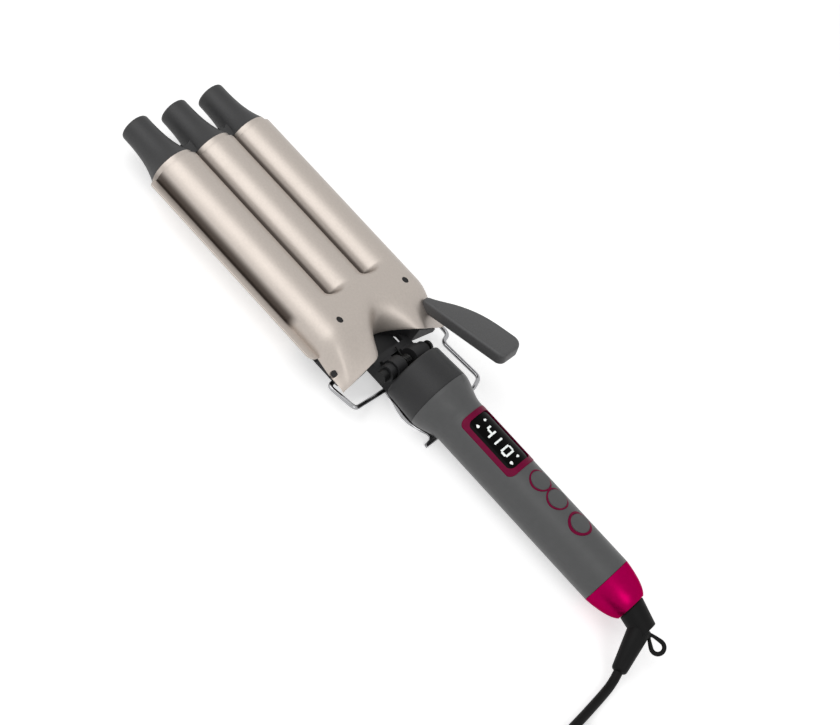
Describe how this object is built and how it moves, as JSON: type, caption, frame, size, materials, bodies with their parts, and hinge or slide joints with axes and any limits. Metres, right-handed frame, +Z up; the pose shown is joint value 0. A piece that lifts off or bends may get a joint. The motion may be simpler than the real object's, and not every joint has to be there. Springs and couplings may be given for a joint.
{
  "type": "hair waver",
  "caption": "Hair waver with a ribbed spring clamp over parallel heated barrels, a side lever, a folding wire stand, a display with buttons, and a swivel cord.",
  "frame": {"origin": "centre line of the folded stand, on the flat sole of its foot, which rests on the table", "axes": "+X from the cool tips along the barrels and the handle to the cord, +Y to the side of the lever, +Z up through the display"},
  "size_m": [0.4426, 0.203, 0.0434],
  "materials": {
    "champagne_coat": "satin champagne coating",
    "spreader_alloy": "cast",
    "heater_ceramic": "unglazed ceramic",
    "heatproof_plastic": "fine grained, dark grey",
    "grip_plastic": "soft satin grey",
    "magenta_plastic": "satin magenta",
    "screw_steel": "zinc plated",
    "blackened_steel": "blackened",
    "wire_steel": "polished steel",
    "window_plastic": "gloss black",
    "lcd_glass": "display glass",
    "circuit_board": "green solder mask",
    "black_plastic": "black",
    "black_rubber": "matte black",
    "lead_sleeve": "woven glass sleeve",
    "fuse_metal": "plain",
    "contact_metal": "bare",
    "blade_metal": "nickel plated"
  },
  "bodies": {
    "frame": {"barrel_left": "champagne_coat", "barrel_centre": "champagne_coat", "barrel_right": "champagne_coat", "spreader_left": "spreader_alloy", "spreader_centre": "spreader_alloy", "spreader_right": "spreader_alloy", "heater_left": "heater_ceramic", "heater_centre": "heater_ceramic", "heater_right": "heater_ceramic", "cool_tips": "heatproof_plastic", "barrel_base": "heatproof_plastic", "neck": "heatproof_plastic", "thermal_fuse": "fuse_metal", "heater_leads": "lead_sleeve", "hinge_pin": "screw_steel", "clamp_spring": "screw_steel", "front_housing": "heatproof_plastic", "upper_shell": "grip_plastic", "lower_shell": "grip_plastic", "handle_screws": "screw_steel", "end_cap": "magenta_plastic", "display_frame": "magenta_plastic", "display_window": "window_plastic", "lcd_module": "lcd_glass", "main_board": "circuit_board", "tact_switches": "black_plastic", "button_rings": "magenta_plastic", "brush_holder": "black_plastic", "mains_leads": "lead_sleeve"},
    "clamp": {"clamp_plate": "champagne_coat", "clamp_collar": "champagne_coat", "clamp_bracket": "heatproof_plastic", "collar_screws": "blackened_steel", "lever": "heatproof_plastic", "lever_rivet": "screw_steel"},
    "stand": {"stand_wire": "wire_steel", "stand_foot": "wire_steel"},
    "swivel": {"swivel_hub": "black_plastic", "slip_rings": "contact_metal", "cord_elbow": "black_plastic", "strain_relief": "black_rubber", "hang_loop": "black_plastic", "power_cord": "black_rubber", "cord_coil": "black_rubber", "coil_tie": "black_plastic", "plug_body": "black_rubber", "plug_blades": "blade_metal"},
    "minus_key": {"button_minus": "grip_plastic"},
    "plus_key": {"button_plus": "grip_plastic"},
    "power_key": {"button_power": "grip_plastic"}
  },
  "joints": [
    {"name": "clamp_hinge", "type": "hinge", "parent": "frame", "child": "clamp", "pos_m": [-0.017, 0, 0.0195], "axis": [0, 1, 0], "range_deg": [0, 25], "stiffness_Nm_per_rad": 0.35, "springref_deg": -28.65, "deforming": ["clamp_spring"]},
    {"name": "stand_fold", "type": "hinge", "parent": "frame", "child": "stand", "pos_m": [-0.03, 0, 0.0112], "axis": [0, 1, 0], "range_deg": [0, 100]},
    {"name": "cord_swivel", "type": "hinge", "parent": "frame", "child": "swivel", "pos_m": [0.155, 0, 0.0195], "axis": [1, 0, 0], "continuous": true},
    {"name": "minus_press", "type": "slide", "parent": "frame", "child": "minus_key", "axis": [0, 0, -1], "range_m": [0, 0.0008], "stiffness_N_per_m": 800, "springref_m": -0.0004},
    {"name": "plus_press", "type": "slide", "parent": "frame", "child": "plus_key", "axis": [0, 0, -1], "range_m": [0, 0.0008], "stiffness_N_per_m": 800, "springref_m": -0.0004},
    {"name": "power_press", "type": "slide", "parent": "frame", "child": "power_key", "axis": [0, 0, -1], "range_m": [0, 0.0008], "stiffness_N_per_m": 800, "springref_m": -0.0004}
  ]
}
